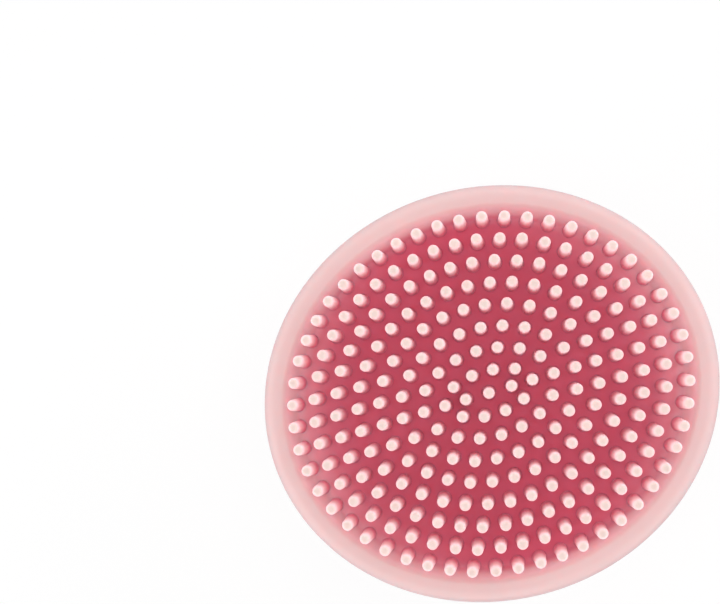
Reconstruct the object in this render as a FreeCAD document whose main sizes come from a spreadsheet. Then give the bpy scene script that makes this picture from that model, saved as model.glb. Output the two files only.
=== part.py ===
import FreeCAD, Part
import math
import os
import Sketcher

# Hand-held facial cleansing brush moulded in soft silicone, in millimetres.
# An oval pad lies on the XY plane with its long axis on X and its back face at z = 0.
# A rounded rim runs round a thin web, and bristles stand on the web towards +Z in
# ovals about a short centre row. The pad folds about its short axis, so it is divided
# along X into a left half, a flexible middle strip and a right half.

DIMENSIONS = {
    "half_length": 53.5,
    "half_width": 48.3,
    "web_thickness": 2.5,
    "rim_width": 6.0,
    "rim_height": 5.5,
    "rim_outer_round": 3.1,
    "rim_inner_round": 2.4,
    "rim_back_round": 1.2,
    "bristle_height": 11.0,
    "bristle_radius": 1.4,
    "bristle_tip_round": 0.9,
    "row_pitch": 5.0,
    "core_spacing": 5.5,
    "strip_half_width": 12.0,
    "block_margin": 2.0,
}
ROW_COUNT = 8
FIRST_ROW_BRISTLES = 10
BRISTLES_ADDED_PER_ROW = 6
# How far an edge may be from the height and from the ellipse that it is looked for on.
# The second is a share of the ellipse's radii.
LEVEL_TOLERANCE = 0.01
ELLIPSE_TOLERANCE = 0.001
ORIGIN = FreeCAD.Vector(0, 0, 0)
UP = FreeCAD.Vector(0, 0, 1)

# Radii of the ellipse where the web meets the inside of the rim.
INNER_LONG = "dims.half_length - dims.rim_width"
INNER_SHORT = "dims.half_width - dims.rim_width"

# Each zone's span along X, as expressions on the sheet, from the left end to the right.
# The blocks that divide the pad stand clear of it by block_margin on every other side.
ZONES = {
    "left": ("-dims.half_length - dims.block_margin", "-dims.strip_half_width"),
    "middle": ("-dims.strip_half_width", "dims.strip_half_width"),
    "right": ("dims.strip_half_width", "dims.half_length + dims.block_margin"),
}


def make_sheet(doc):
    sheet = doc.addObject("Spreadsheet::Sheet", "dims")
    for row, (name, value) in enumerate(DIMENSIONS.items(), start=1):
        sheet.set(f"A{row}", name)
        sheet.set(f"B{row}", str(value))
        sheet.setAlias(f"B{row}", name)
    doc.recompute()
    return sheet


def bind(item, **expressions):
    for name, expression in expressions.items():
        item.setExpression(name, expression)


def elliptic_solid(doc, name, long_radius, short_radius, height):
    """A solid on the XY plane with an elliptic outline, long axis on X."""
    outline = doc.addObject("Part::Ellipse", f"{name}_outline")
    bind(outline, MajorRadius=long_radius, MinorRadius=short_radius)
    solid = doc.addObject("Part::Extrusion", f"{name}_solid")
    solid.Base = outline
    solid.Dir = UP
    solid.Solid = True
    bind(solid, LengthFwd=height)
    return solid


def curved_edges(shape, level, long_radius, short_radius):
    """Numbers of the edges at this height that follow the ellipse of these radii."""
    numbers = []
    for number, edge in enumerate(shape.Edges, start=1):
        middle = edge.valueAt((edge.FirstParameter + edge.LastParameter) / 2)
        off_ellipse = abs(math.hypot(middle.x / long_radius, middle.y / short_radius) - 1)
        if abs(middle.z - level) < LEVEL_TOLERANCE and off_ellipse < ELLIPSE_TOLERANCE:
            numbers.append(number)
    return numbers


def make_web(doc):
    """The thin floor of the pad, out to the inside of the rim."""
    return elliptic_solid(doc, "web", INNER_LONG, INNER_SHORT, "dims.web_thickness")


def make_rim_ring(doc):
    """The bead round the web, still with square edges."""
    outer = elliptic_solid(doc, "rim_outer", "dims.half_length", "dims.half_width", "dims.rim_height")
    inner = elliptic_solid(doc, "rim_inner", INNER_LONG, INNER_SHORT, "dims.rim_height")
    ring = doc.addObject("Part::Cut", "rim_ring")
    ring.Base = outer
    ring.Tool = inner
    return ring


def round_rim(doc, sheet, name, square):
    """Rounds one length of the rim, so that its crest is nearer the outer edge."""
    outer = (sheet.half_length, sheet.half_width)
    inner = (sheet.half_length - sheet.rim_width, sheet.half_width - sheet.rim_width)
    rounds = [
        (sheet.rim_height, outer, sheet.rim_outer_round),
        (sheet.rim_height, inner, sheet.rim_inner_round),
        (0.0, outer, sheet.rim_back_round),
    ]
    bead = doc.addObject("Part::Fillet", name)
    bead.Base = square
    bead.Edges = [
        (number, radius, radius)
        for level, radii, radius in rounds
        for number in curved_edges(square.Shape, level, *radii)
    ]
    bead.Label = name
    return bead


def make_zone_box(doc, zone):
    """A block that holds everything of the pad between two planes across X."""
    start, end = ZONES[zone]
    block = doc.addObject("Part::Box", f"{zone}_zone")
    bind(
        block,
        Length=f"{end} - ({start})",
        Width="2 * dims.half_width + 2 * dims.block_margin",
        Height="dims.rim_height + 2 * dims.block_margin",
    )
    block.setExpression("Placement.Base.x", start)
    block.setExpression("Placement.Base.y", "-dims.half_width - dims.block_margin")
    block.setExpression("Placement.Base.z", "-dims.block_margin")
    return block


def cut_to_zone(doc, name, whole, block):
    piece = doc.addObject("Part::Common", name)
    piece.Base = whole
    piece.Tool = block
    piece.Label = name
    return piece


def make_bristle(doc):
    """One bristle: a round finger with a rounded tip, its root on z = 0."""
    body = doc.addObject("PartDesign::Body", "bristle")
    sketch = body.newObject("Sketcher::SketchObject", "bristle_outline")
    plane = next(item for item in body.Origin.OriginFeatures if item.Role == "XY_Plane")
    sketch.AttachmentSupport = [(plane, "")]
    sketch.MapMode = "FlatFace"
    circle = sketch.addGeometry(Part.Circle(ORIGIN, UP, 1), False)
    sketch.addConstraint(Sketcher.Constraint("Coincident", circle, 3, -1, 1))
    radius = sketch.addConstraint(Sketcher.Constraint("Radius", circle, 1))
    sketch.renameConstraint(radius, "radius")
    sketch.setExpression("Constraints.radius", "dims.bristle_radius")
    finger = body.newObject("PartDesign::Pad", "bristle_finger")
    finger.Profile = sketch
    bind(finger, Length="dims.bristle_height")
    doc.recompute()
    edges = finger.Shape.Edges
    top = max(range(len(edges)), key=lambda index: edges[index].BoundBox.ZMin)
    rounded = body.newObject("PartDesign::Fillet", "bristle_rounded")
    rounded.Base = (finger, [f"Edge{top + 1}"])
    bind(rounded, Radius="dims.bristle_tip_round")
    doc.recompute()
    return body


def bristle_rows(sheet):
    """Row number to bristle places: a centre row of three, then ovals evenly filled."""
    height = sheet.web_thickness
    rows = {0: [FreeCAD.Vector(step * sheet.core_spacing, 0, height) for step in (-1, 0, 1)]}
    for row in range(1, ROW_COUNT + 1):
        short = row * sheet.row_pitch
        oval = Part.Ellipse(FreeCAD.Vector(0, 0, height), short + sheet.core_spacing, short)
        count = FIRST_ROW_BRISTLES + BRISTLES_ADDED_PER_ROW * (row - 1)
        rows[row] = oval.toShape().discretize(Number=count + 1)[:-1]
    return rows


def zone_of(place, sheet):
    if abs(place.x) < sheet.strip_half_width:
        return "middle"
    return "left" if place.x < 0 else "right"


def make_bristle_groups(doc, sheet, bristle):
    """One node for the bristles of each row in each zone."""
    groups = {}
    for row, places in bristle_rows(sheet).items():
        for place in places:
            groups.setdefault((zone_of(place, sheet), row), []).append(place)
    nodes = []
    for (zone, row), places in sorted(groups.items()):
        name = f"{zone}_bristles_row_{row}"
        node = doc.addObject("Part::Feature", name)
        node.Shape = Part.makeCompound([bristle.Shape.translated(place) for place in places])
        node.Placement = FreeCAD.Placement()
        node.Label = name
        nodes.append(node)
    return nodes


def check_document(doc, nodes):
    doc.recompute()
    for item in doc.Objects:
        if "Invalid" in item.State or "Error" in item.State:
            raise RuntimeError(f"{item.Name} failed: {item.State}")
    for node in nodes:
        if node.Shape.isNull() or not node.Shape.isValid() or not node.Shape.Solids:
            raise RuntimeError(f"{node.Label} has no valid solid")


def main():
    doc = FreeCAD.newDocument("cleansing_brush")
    sheet = make_sheet(doc)
    web = make_web(doc)
    ring = make_rim_ring(doc)
    nodes = []
    for zone in ZONES:
        block = make_zone_box(doc, zone)
        nodes.append(cut_to_zone(doc, f"{zone}_web", web, block))
        square = cut_to_zone(doc, f"{zone}_rim_square", ring, block)
        doc.recompute()
        nodes.append(round_rim(doc, sheet, f"{zone}_rim", square))
    nodes += make_bristle_groups(doc, sheet, make_bristle(doc))
    check_document(doc, nodes)
    os.makedirs("parts", exist_ok=True)
    for node in nodes:
        node.Shape.exportStep(f"parts/{node.Label}.step")
        print(node.Label, len(node.Shape.Solids), round(node.Shape.Volume, 2))


main()
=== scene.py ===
import math

import bpy
import numpy as np
from mathutils import Euler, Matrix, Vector


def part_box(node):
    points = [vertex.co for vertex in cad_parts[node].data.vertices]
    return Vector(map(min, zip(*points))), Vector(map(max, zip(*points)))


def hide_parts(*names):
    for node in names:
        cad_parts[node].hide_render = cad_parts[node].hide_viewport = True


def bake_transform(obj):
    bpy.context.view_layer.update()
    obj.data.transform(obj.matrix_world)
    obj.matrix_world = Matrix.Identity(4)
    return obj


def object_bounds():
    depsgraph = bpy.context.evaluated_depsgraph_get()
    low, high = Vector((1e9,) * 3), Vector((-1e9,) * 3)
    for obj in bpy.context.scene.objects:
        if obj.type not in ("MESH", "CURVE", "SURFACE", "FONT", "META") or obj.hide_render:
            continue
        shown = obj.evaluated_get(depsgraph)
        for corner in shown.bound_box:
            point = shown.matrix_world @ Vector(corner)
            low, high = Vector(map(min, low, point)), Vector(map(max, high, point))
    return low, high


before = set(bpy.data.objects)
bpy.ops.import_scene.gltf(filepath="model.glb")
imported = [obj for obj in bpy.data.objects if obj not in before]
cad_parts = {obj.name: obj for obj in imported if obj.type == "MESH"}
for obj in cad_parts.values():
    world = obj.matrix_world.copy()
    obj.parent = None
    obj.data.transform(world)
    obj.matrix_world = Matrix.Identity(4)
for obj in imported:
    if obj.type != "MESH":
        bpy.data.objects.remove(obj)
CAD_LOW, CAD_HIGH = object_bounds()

# A soft silicone cleansing pad: one skin for its web and rim, and one piece for each
# oval row of bristles. Lengths are in metres; MM turns millimetres into them.
MM = 0.001

# ---------------------------------------------------------------- sizes from the frame
ZONES = ("left", "middle", "right")
HALF_LENGTH = CAD_HIGH.x
HALF_WIDTH = CAD_HIGH.y
WEB_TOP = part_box("middle_web")[1].z
RIM_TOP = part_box("middle_rim")[1].z
BRISTLE_TIP = CAD_HIGH.z
BRISTLE_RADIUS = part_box("middle_bristles_row_0")[1].y
ROWS = 8
FIRST_ROW_BRISTLES = 10
BRISTLES_ADDED_PER_ROW = 6
FIRST_ROW_IN_EVERY_ZONE = 2
ROW_PITCH = (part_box("middle_bristles_row_8")[1].y - BRISTLE_RADIUS) / ROWS
CORE_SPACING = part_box("right_bristles_row_8")[1].x - BRISTLE_RADIUS - ROWS * ROW_PITCH


def fold(piece):
    """Bakes a piece's placement into its mesh."""
    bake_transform(piece)


# ---------------------------------------------------------------- meshes
def quarter_turn(steps):
    """Angles through a quarter circle, its start and end left out."""
    return [math.pi / 2 * step / steps for step in range(1, steps)]


def whole_turn(segments):
    """Evenly spaced angles round a circle."""
    return np.arange(segments) * 2 * math.pi / segments


def ring_faces(ring_count, segments, first=0):
    """Quads between rings of points, the rings stored one after another."""
    faces = []
    for ring in range(ring_count - 1):
        near = first + ring * segments
        for turn in range(segments):
            after = (turn + 1) % segments
            faces.append((near + turn, near + segments + turn, near + segments + after, near + after))
    return faces


def mesh_object(name, points, faces, attributes):
    """A smooth mesh object with its point attributes, given as name to values."""
    mesh = bpy.data.meshes.new(name)
    mesh.from_pydata([tuple(point) for point in points], [], faces)
    mesh.validate()
    for key, values in attributes.items():
        layer = mesh.attributes.new(key, "FLOAT", "POINT")
        layer.data.foreach_set("value", np.asarray(values, np.float32))
    mesh.shade_smooth()
    piece = bpy.data.objects.new(name, mesh)
    bpy.context.scene.collection.objects.link(piece)
    return piece


# ---------------------------------------------------------------- skin of the web and rim
# Insets are measured inwards from the pad's outline.
RIM_CREST_INSET = 2.9 * MM
RIM_SHOULDER_INSET = 4.3 * MM
RIM_FOOT_INSET = 8.3 * MM
RIM_WIDEST = 2.6 * MM
BACK_ROUND = 1.7 * MM

# A fine groove round the outside of the rim, where the two halves of the mould met.
PARTING_HALF = 0.16 * MM
PARTING_DEPTH = 0.05 * MM

# The mark of the moulding gate in the middle of the back: a shallow ring round a button.
# Its profile has shares of the gate's radius and depth.
GATE_RADIUS = 2.4 * MM
GATE_DEPTH = 0.2 * MM
GATE_BUTTON = 0.35
GATE_PROFILE = ((1.0, 0.0), (0.8, 1.0), (0.55, 1.0), (0.4, GATE_BUTTON), (0.15, GATE_BUTTON))

SKIN_SEGMENTS = 256
WEB_STEPS = 36
SLOPE_STEPS = 18
CROWN_STEPS = 12
BACK_STEPS = 8

# How fast the painted shade on the rim's outer edge, darkest at the parting line, dies away above and
# below it.
EDGE_SHADE_POWER = 4


def rim_section():
    """(inset, height, rise, flank) of the skin from the rim's foot to the back.

    Rise is 0 on the web and 1 from the crest on. The last is painted shade where the rim's outer
    edge rolls away from the light: 1 at the parting line, falling to 0 on the crest and on the back.
    """
    points = []
    for step in range(SLOPE_STEPS + 1):
        share = step / SLOPE_STEPS
        rise = 0.5 - 0.5 * math.cos(math.pi * share)
        inset = RIM_FOOT_INSET + (RIM_SHOULDER_INSET - RIM_FOOT_INSET) * share
        points.append((inset, WEB_TOP + (RIM_TOP - WEB_TOP) * rise, rise, 0.0))
    points.append(((RIM_SHOULDER_INSET + RIM_CREST_INSET) / 2, RIM_TOP, 1.0, 0.0))
    points.append((RIM_CREST_INSET, RIM_TOP, 1.0, 0.0))
    crown = RIM_TOP - RIM_WIDEST
    for angle in quarter_turn(CROWN_STEPS):
        inset = RIM_CREST_INSET * (1 - math.sin(angle))
        edge_shade = math.sin(angle) ** EDGE_SHADE_POWER
        points.append((inset, RIM_WIDEST + crown * math.cos(angle), 1.0, edge_shade))
    points.append((PARTING_DEPTH, RIM_WIDEST + PARTING_HALF, 1.0, 1.0))
    points.append((0.0, RIM_WIDEST, 1.0, 1.0))
    points.append((PARTING_DEPTH, RIM_WIDEST - PARTING_HALF, 1.0, 1.0))
    for angle in quarter_turn(BACK_STEPS):
        inset = BACK_ROUND * (1 - math.cos(angle))
        edge_shade = math.cos(angle) ** EDGE_SHADE_POWER
        points.append((inset, RIM_WIDEST * (1 - math.sin(angle)), 1.0, edge_shade))
    points.append((BACK_ROUND, 0.0, 1.0, 0.0))
    return points


def skin_rings():
    """(long radius, short radius, height, rise, flank) of each oval ring, from the middle
    of the web out over the rim and back to the middle of the back."""
    rings = []
    foot_long = HALF_LENGTH - RIM_FOOT_INSET
    foot_short = HALF_WIDTH - RIM_FOOT_INSET
    for step in range(1, WEB_STEPS):
        share = step / WEB_STEPS
        rings.append((foot_long * share, foot_short * share, WEB_TOP, 0.0, 0.0))
    for inset, *rest in rim_section():
        rings.append((HALF_LENGTH - inset, HALF_WIDTH - inset, *rest))
    back_long, back_short = rings[-1][:2]
    for step in range(WEB_STEPS - 1, 2, -1):
        share = step / WEB_STEPS
        rings.append((back_long * share, back_short * share, 0.0, 1.0, 0.0))
    for radius, depth in GATE_PROFILE:
        rings.append((GATE_RADIUS * radius, GATE_RADIUS * radius, GATE_DEPTH * depth, 1.0, 0.0))
    return rings


def reach_of(x, y):
    """0 in the middle of the pad and 1 at its edge."""
    return np.hypot(x / HALF_LENGTH, y / HALF_WIDTH)


def ends_of(x, y):
    """1 towards either end of the long axis and 0 towards either end of the short axis."""
    never_zero = 1e-9
    return (x / HALF_LENGTH / (reach_of(x, y) + never_zero)) ** 2


def build_skin(material):
    rings = skin_rings()
    turns = whole_turn(SKIN_SEGMENTS)
    points = [(0.0, 0.0, WEB_TOP), (0.0, 0.0, GATE_DEPTH * GATE_BUTTON)]
    rises = [0.0, 1.0]
    edge_shades = [0.0, 0.0]
    top_centre, back_centre, first = 0, 1, 2
    for long_radius, short_radius, height, rise, edge_shade in rings:
        for turn in turns:
            points.append((long_radius * math.cos(turn), short_radius * math.sin(turn), height))
        rises += [rise] * SKIN_SEGMENTS
        edge_shades += [edge_shade] * SKIN_SEGMENTS
    faces = ring_faces(len(rings), SKIN_SEGMENTS, first)
    last = first + (len(rings) - 1) * SKIN_SEGMENTS
    for turn in range(SKIN_SEGMENTS):
        after = (turn + 1) % SKIN_SEGMENTS
        faces.append((top_centre, first + turn, first + after))
        faces.append((back_centre, last + after, last + turn))
    points = np.array(points)
    attributes = {
        "rise": rises,
        "edge_shade": edge_shades,
        "reach": reach_of(points[:, 0], points[:, 1]),
        "side_lit_ends": ends_of(points[:, 0], points[:, 1]),
    }
    skin = mesh_object("pad_skin", points, faces, attributes)
    skin.data.materials.append(material)
    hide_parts(*[f"{zone}_{part}" for zone in ZONES for part in ("web", "rim")])
    fold(skin)


# ---------------------------------------------------------------- bristles
BRISTLE_HEIGHT = BRISTLE_TIP - WEB_TOP
ROOT_RADIUS = BRISTLE_RADIUS + 0.1 * MM
END_RADIUS = BRISTLE_RADIUS - 0.1 * MM
FLARE_WIDTH = 0.2 * MM
FLARE_HEIGHT = 0.5 * MM
ROOT_SINK = 0.8 * MM
DOME_HEIGHT = 1.35 * MM
DOME_FLAT = 0.5 * MM

# How far a tip may be from straight above its root, along X and along Y.
LEAN = 0.13 * MM
LEAN_SEED = 7

BRISTLE_SEGMENTS = 28
FLARE_STEPS = 6
SIDE_STEPS = 6
DOME_STEPS = 7
ELLIPSE_SAMPLES = 3601


def bristle_section():
    """(radius, height over the web) of a bristle from its flared root to its domed tip."""
    section = [(ROOT_RADIUS + FLARE_WIDTH, -ROOT_SINK)]
    for angle in [0.0, *quarter_turn(FLARE_STEPS)]:
        radius = ROOT_RADIUS + FLARE_WIDTH * (1 - math.sin(angle))
        section.append((radius, FLARE_HEIGHT * (1 - math.cos(angle))))
    side_top = BRISTLE_HEIGHT - DOME_HEIGHT
    for step in range(SIDE_STEPS + 1):
        share = step / SIDE_STEPS
        radius = ROOT_RADIUS + (END_RADIUS - ROOT_RADIUS) * share
        section.append((radius, FLARE_HEIGHT + (side_top - FLARE_HEIGHT) * share))
    for angle in [*quarter_turn(DOME_STEPS), math.pi / 2]:
        radius = DOME_FLAT + (END_RADIUS - DOME_FLAT) * math.cos(angle)
        section.append((radius, side_top + DOME_HEIGHT * math.sin(angle)))
    return section


def oval_places(long_radius, short_radius, count):
    """Places evenly spaced along an ellipse, the first on its long axis."""
    turns = np.linspace(0, 2 * math.pi, ELLIPSE_SAMPLES)
    xs = long_radius * np.cos(turns)
    ys = short_radius * np.sin(turns)
    along = np.concatenate([[0.0], np.cumsum(np.hypot(np.diff(xs), np.diff(ys)))])
    wanted = np.arange(count) * along[-1] / count
    return np.stack([np.interp(wanted, along, xs), np.interp(wanted, along, ys)], axis=1)


def row_places(row):
    """Where the bristles of a row stand: three in the centre row, then ovals round it."""
    if row == 0:
        return np.array([[-CORE_SPACING, 0.0], [0.0, 0.0], [CORE_SPACING, 0.0]])
    short_radius = row * ROW_PITCH
    count = FIRST_ROW_BRISTLES + BRISTLES_ADDED_PER_ROW * (row - 1)
    return oval_places(short_radius + CORE_SPACING, short_radius, count)


def bristle_points(section, rises, place, lean):
    """The rings of one bristle, then the middles of its root and of its tip."""
    turns = whole_turn(BRISTLE_SEGMENTS)
    circle = np.stack([np.cos(turns), np.sin(turns)], axis=1)
    bend = lean * (rises**2)[:, None, None]
    rounds = section[:, None, :1] * circle[None] + place + bend
    heights = np.repeat(section[:, 1] + WEB_TOP, BRISTLE_SEGMENTS)
    walls = np.concatenate([rounds.reshape(-1, 2), heights[:, None]], axis=1)
    root = [*place, heights[0]]
    tip = [*(place + lean), heights[-1]]
    return np.concatenate([walls, [root, tip]])


def bristle_faces(ring_count, first):
    """The faces of one bristle whose points start at number first."""
    faces = [face[::-1] for face in ring_faces(ring_count, BRISTLE_SEGMENTS, first)]
    root = first + ring_count * BRISTLE_SEGMENTS
    tip = root + 1
    top = root - BRISTLE_SEGMENTS
    for turn in range(BRISTLE_SEGMENTS):
        after = (turn + 1) % BRISTLE_SEGMENTS
        faces.append((root, first + after, first + turn))
        faces.append((tip, top + turn, top + after))
    return faces


def build_row(row, random, material):
    """All the bristles of one oval row, each leaning a hair's breadth its own way."""
    section = np.array(bristle_section())
    section_rises = np.clip(section[:, 1] / BRISTLE_HEIGHT, 0, 1)
    rises_of_one = [*np.repeat(section_rises, BRISTLE_SEGMENTS), 0.0, 1.0]
    points = []
    rises = []
    faces = []
    for place in row_places(row):
        lean = random.uniform(-LEAN, LEAN, 2)
        faces += bristle_faces(len(section), len(points))
        points += list(bristle_points(section, section_rises, place, lean))
        rises += rises_of_one
    piece = mesh_object(f"bristle_row_{row}", points, faces, {"rise": rises})
    piece.data.materials.append(material)
    zones = ZONES if row >= FIRST_ROW_IN_EVERY_ZONE else ("middle",)
    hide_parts(*[f"{zone}_bristles_row_{row}" for zone in zones])
    fold(piece)


# ---------------------------------------------------------------- colours of the silicone, with painted light and shade
# All are linear. PALE is the rim and the back; the next is painted shade on the rim's outer edge,
# darkest at its parting line.
# A bristle's colour is painted light and shade by height: pale cream on the lit tip, blush up the
# lit side, and a deeper pink painted shade at the root, kept brighter than the web to lift the shade
# there.
PALE = (0.73, 0.53, 0.525)
# Painted shade on the rim's outer edge, darkest at the parting line.
PAINTED_EDGE_SHADE = (0.50, 0.34, 0.36)
# Painted shade at the bristle's root, lifted brighter than the web; painted light up its side and on
# its tip.
ROOT_SHADE = (1.0, 0.37, 0.47)
SIDE_LIGHT = (1.0, 0.63, 0.65)
TIP_LIGHT = (0.70, 0.58, 0.545)

# The middle of the web is painted shade, a deep rose for the shade among the bristles, and the
# inside of the rim is painted light, paler than the rim to cancel the shade the bristles cast there.
# The web between them is given by reach, along the short axis and along the long one; along the
# long one it pales sooner with painted light from the side lamps.
# Painted shade of the web among the bristles.
WEB_SHADE = (0.71, 0.150, 0.242)
# Painted light: the inside of the rim is paler than the rim's own colour, to cancel the bristles'
# shade on it.
LIT_SLOPE = (0.83, 0.61, 0.625)
# Painted shade across the short axis: deep rose in the middle, paling towards the rim.
SHORT_WEB_SHADE = (
    (0.00, WEB_SHADE),
    (0.80, WEB_SHADE),
    (0.84, (0.76, 0.26, 0.345)),
    (0.87, LIT_SLOPE),
)
# Painted light from the side lamps: along the long axis the web's painted shade gives way to paler
# pink sooner.
LONG_WEB_LIGHT_AND_SHADE = (
    (0.00, WEB_SHADE),
    (0.58, (0.71, 0.166, 0.257)),
    (0.70, (0.73, 0.22, 0.31)),
    (0.80, (0.79, 0.37, 0.44)),
    (0.84, (0.81, 0.48, 0.525)),
    (0.87, LIT_SLOPE),
)

# The rises between which one colour gives way to the next.
WEB_TO_RIM = (0.7, 1.0)
ROOT_SHADE_TO_SIDE_LIGHT = (0.1, 0.55)
SIDE_LIGHT_TO_TIP_LIGHT = (0.955, 0.998)

# ---------------------------------------------------------------- finish of the silicone
# Noise scales are in cells per metre. Scatter is how far red, green and blue light
# travel inside the silicone, in millimetres.
CLOUD_SCALE = 90
CLOUD_DETAIL = 3
CLOUD_SHADES = (0.97, 1.03)
PATCH_SCALE = 420
PATCH_DETAIL = 4
ROUGHNESSES = (0.45, 0.56)
GRAIN_SCALE = 2600
GRAIN_DETAIL = 3
GRAIN_STRENGTH = 0.12
GRAIN_DEPTH = 0.03 * MM
SILICONE_IOR = 1.41
PAD_GLOSS = 0.3
PAD_SUBSURFACE = 0.8
PAD_SCATTER = (1.4, 0.49, 0.42)
BRISTLE_GLOSS = 0.06
BRISTLE_SUBSURFACE = 0.95
BRISTLE_SCATTER = (1.5, 1.15, 1.1)


def node(tree, kind, **settings):
    made = tree.nodes.new(kind)
    for name, value in settings.items():
        setattr(made, name, value)
    return made


def attribute(tree, name):
    made = node(tree, "ShaderNodeAttribute", attribute_type="GEOMETRY", attribute_name=name)
    return made.outputs["Fac"]


def smooth_step(tree, value, bounds):
    """0 where value is under the first bound and 1 over the second."""
    made = node(tree, "ShaderNodeMapRange", interpolation_type="SMOOTHSTEP")
    tree.links.new(value, made.inputs["Value"])
    made.inputs["From Min"].default_value = bounds[0]
    made.inputs["From Max"].default_value = bounds[1]
    return made.outputs["Result"]


def remap(tree, value, bounds):
    """value from 0 to 1 turned into the first bound to the second."""
    made = node(tree, "ShaderNodeMapRange")
    tree.links.new(value, made.inputs["Value"])
    made.inputs["To Min"].default_value = bounds[0]
    made.inputs["To Max"].default_value = bounds[1]
    return made.outputs["Result"]


def mix(tree, share, first, second):
    """A colour between two. first and second are colours or sockets."""
    made = node(tree, "ShaderNodeMix", data_type="RGBA")
    tree.links.new(share, made.inputs["Factor"])
    for socket, colour in ((made.inputs[6], first), (made.inputs[7], second)):
        if isinstance(colour, tuple):
            socket.default_value = (*colour, 1)
        else:
            tree.links.new(colour, socket)
    return made.outputs[2]


def ramp(tree, value, stops):
    """A colour that runs through stops, each a place from 0 to 1 and a colour."""
    made = node(tree, "ShaderNodeValToRGB")
    made.color_ramp.interpolation = "EASE"
    elements = made.color_ramp.elements
    for _ in stops[2:]:
        elements.new(0.5)
    for element, (place, colour) in zip(elements, stops):
        element.position = place
        element.color = (*colour, 1)
    tree.links.new(value, made.inputs["Fac"])
    return made.outputs["Color"]


def noise(tree, scale, detail):
    place = node(tree, "ShaderNodeTexCoord").outputs["Object"]
    made = node(tree, "ShaderNodeTexNoise")
    made.inputs["Scale"].default_value = scale
    made.inputs["Detail"].default_value = detail
    tree.links.new(place, made.inputs["Vector"])
    return made.outputs["Fac"]


def painted_web_light_and_shade(tree):
    """Painted shade: deep rose in the middle among the bristles, paler outwards, and paler sooner
    along the long axis with painted light from the side lamps.
    """
    reach = attribute(tree, "reach")
    across = ramp(tree, reach, SHORT_WEB_SHADE)
    along = ramp(tree, reach, LONG_WEB_LIGHT_AND_SHADE)
    # Towards either end of the long axis the web takes the painted side light.
    return mix(tree, attribute(tree, "side_lit_ends"), across, along)


def skin_colour(tree):
    """The web's painted shade and light, then pale on the rim and the back, with mauve painted shade
    on the rim's outer edge at the parting line.
    """
    rim = mix(tree, attribute(tree, "edge_shade"), PALE, PAINTED_EDGE_SHADE)
    return mix(tree, smooth_step(tree, attribute(tree, "rise"), WEB_TO_RIM), painted_web_light_and_shade(tree), rim)


def painted_bristle_light_and_shade(tree):
    """Painted light and shade: deep pink shade at the root, then a lit blush, and a lit cream on the
    tip.
    """
    rise = attribute(tree, "rise")
    side = mix(tree, smooth_step(tree, rise, ROOT_SHADE_TO_SIDE_LIGHT), ROOT_SHADE, SIDE_LIGHT)
    return mix(tree, smooth_step(tree, rise, SIDE_LIGHT_TO_TIP_LIGHT), side, TIP_LIGHT)


def silicone(name, colour_of, gloss, subsurface, scatter):
    """Soft satin silicone. colour_of(tree) gives the socket of its colour."""
    material = bpy.data.materials.new(name)
    material.use_nodes = True
    tree = material.node_tree
    shader = tree.nodes["Principled BSDF"]
    cloudy = remap(tree, noise(tree, CLOUD_SCALE, CLOUD_DETAIL), CLOUD_SHADES)
    shaded = node(tree, "ShaderNodeVectorMath", operation="SCALE")
    tree.links.new(colour_of(tree), shaded.inputs[0])
    tree.links.new(cloudy, shaded.inputs["Scale"])
    tree.links.new(shaded.outputs[0], shader.inputs["Base Color"])
    patchy = remap(tree, noise(tree, PATCH_SCALE, PATCH_DETAIL), ROUGHNESSES)
    tree.links.new(patchy, shader.inputs["Roughness"])
    bump = node(tree, "ShaderNodeBump")
    bump.inputs["Strength"].default_value = GRAIN_STRENGTH
    bump.inputs["Distance"].default_value = GRAIN_DEPTH
    tree.links.new(noise(tree, GRAIN_SCALE, GRAIN_DETAIL), bump.inputs["Height"])
    tree.links.new(bump.outputs["Normal"], shader.inputs["Normal"])
    shader.inputs["IOR"].default_value = SILICONE_IOR
    shader.inputs["Specular IOR Level"].default_value = gloss
    shader.inputs["Subsurface Weight"].default_value = subsurface
    shader.inputs["Subsurface Scale"].default_value = MM
    shader.inputs["Subsurface Radius"].default_value = scatter
    return material


# ---------------------------------------------------------------- studio
CAMERA_PLACE = Vector((3.66, 4.11, 350)) * MM
CAMERA_TURN = (2.683, 5.373, -16.81)
CAMERA_LENS = 73.7
CAMERA_NEAREST = 0.01

# The floor lies low enough for either half to fold down over it.
FLOOR_DROP = HALF_LENGTH + 8 * MM
FLOOR_HALF = 3.0
FLOOR_GREY = 0.2
FLOOR_GLOW = 0.75
FLOOR_ROUGHNESS = 0.9

HORIZON_GLOW = 1.9
ZENITH_GLOW = 0.3
WHITE = (1, 1, 1, 1)

# Name, place, width and power in watts of each soft box.
SOFT_BOXES = (
    ("top_box", (0.02, 0.03, 0.60), 0.45, 1.14),
    ("left_box", (-0.55, -0.12, 0.32), 0.35, 0.6),
    ("right_box", (0.55, 0.12, 0.30), 0.35, 0.72),
)


def build_camera():
    camera = bpy.data.cameras.new("photo_view")
    camera.lens = CAMERA_LENS
    camera.clip_start = CAMERA_NEAREST
    eye = bpy.data.objects.new("photo_view", camera)
    eye.location = CAMERA_PLACE
    eye.rotation_euler = Euler([math.radians(angle) for angle in CAMERA_TURN], "XYZ")
    bpy.context.scene.collection.objects.link(eye)
    bpy.context.scene.camera = eye
    bpy.context.scene.view_settings.view_transform = "Standard"


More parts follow.
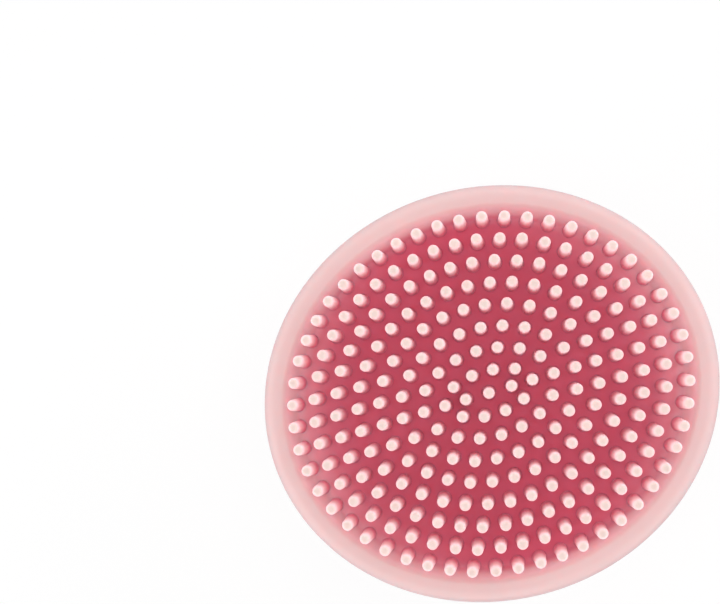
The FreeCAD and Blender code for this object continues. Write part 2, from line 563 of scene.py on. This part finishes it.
def build_sky():
    """White light from all round, stronger from the sides than from above."""
    world = bpy.data.worlds.new("studio")
    world.use_nodes = True
    tree = world.node_tree
    background = tree.nodes["Background"]
    parts = node(tree, "ShaderNodeSeparateXYZ")
    tree.links.new(node(tree, "ShaderNodeTexCoord").outputs["Generated"], parts.inputs[0])
    strength = remap(tree, parts.outputs["Z"], (HORIZON_GLOW, ZENITH_GLOW))
    tree.links.new(strength, background.inputs["Strength"])
    background.inputs["Color"].default_value = WHITE
    bpy.context.scene.world = world


def soft_light(name, place, size, power):
    """A square soft box aimed at the pad."""
    light = bpy.data.lights.new(name, "AREA")
    light.size = size
    light.energy = power
    lamp = bpy.data.objects.new(name, light)
    lamp.location = place
    lamp.rotation_euler = (-Vector(place)).to_track_quat("-Z", "Y").to_euler()
    bpy.context.scene.collection.objects.link(lamp)


def build_floor():
    """A plain white floor, lit a little from within so that it leaves no dark shadow."""
    corners = ((-1, -1), (1, -1), (1, 1), (-1, 1))
    points = [(FLOOR_HALF * x, FLOOR_HALF * y, -FLOOR_DROP) for x, y in corners]
    floor = mesh_object("studio_floor", points, [(0, 1, 2, 3)], {})
    material = bpy.data.materials.new("studio_white")
    material.use_nodes = True
    shader = material.node_tree.nodes["Principled BSDF"]
    shader.inputs["Base Color"].default_value = (FLOOR_GREY, FLOOR_GREY, FLOOR_GREY, 1)
    shader.inputs["Roughness"].default_value = FLOOR_ROUGHNESS
    shader.inputs["Emission Color"].default_value = WHITE
    shader.inputs["Emission Strength"].default_value = FLOOR_GLOW
    floor.data.materials.append(material)


def main():
    build_camera()
    build_sky()
    for soft_box in SOFT_BOXES:
        soft_light(*soft_box)
    build_floor()
    build_skin(silicone("silicone_pad", skin_colour, PAD_GLOSS, PAD_SUBSURFACE, PAD_SCATTER))
    bristle_material = silicone(
        "silicone_bristles", painted_bristle_light_and_shade, BRISTLE_GLOSS, BRISTLE_SUBSURFACE, BRISTLE_SCATTER
    )
    random = np.random.default_rng(LEAN_SEED)
    for row in range(ROWS + 1):
        build_row(row, random, bristle_material)


main()
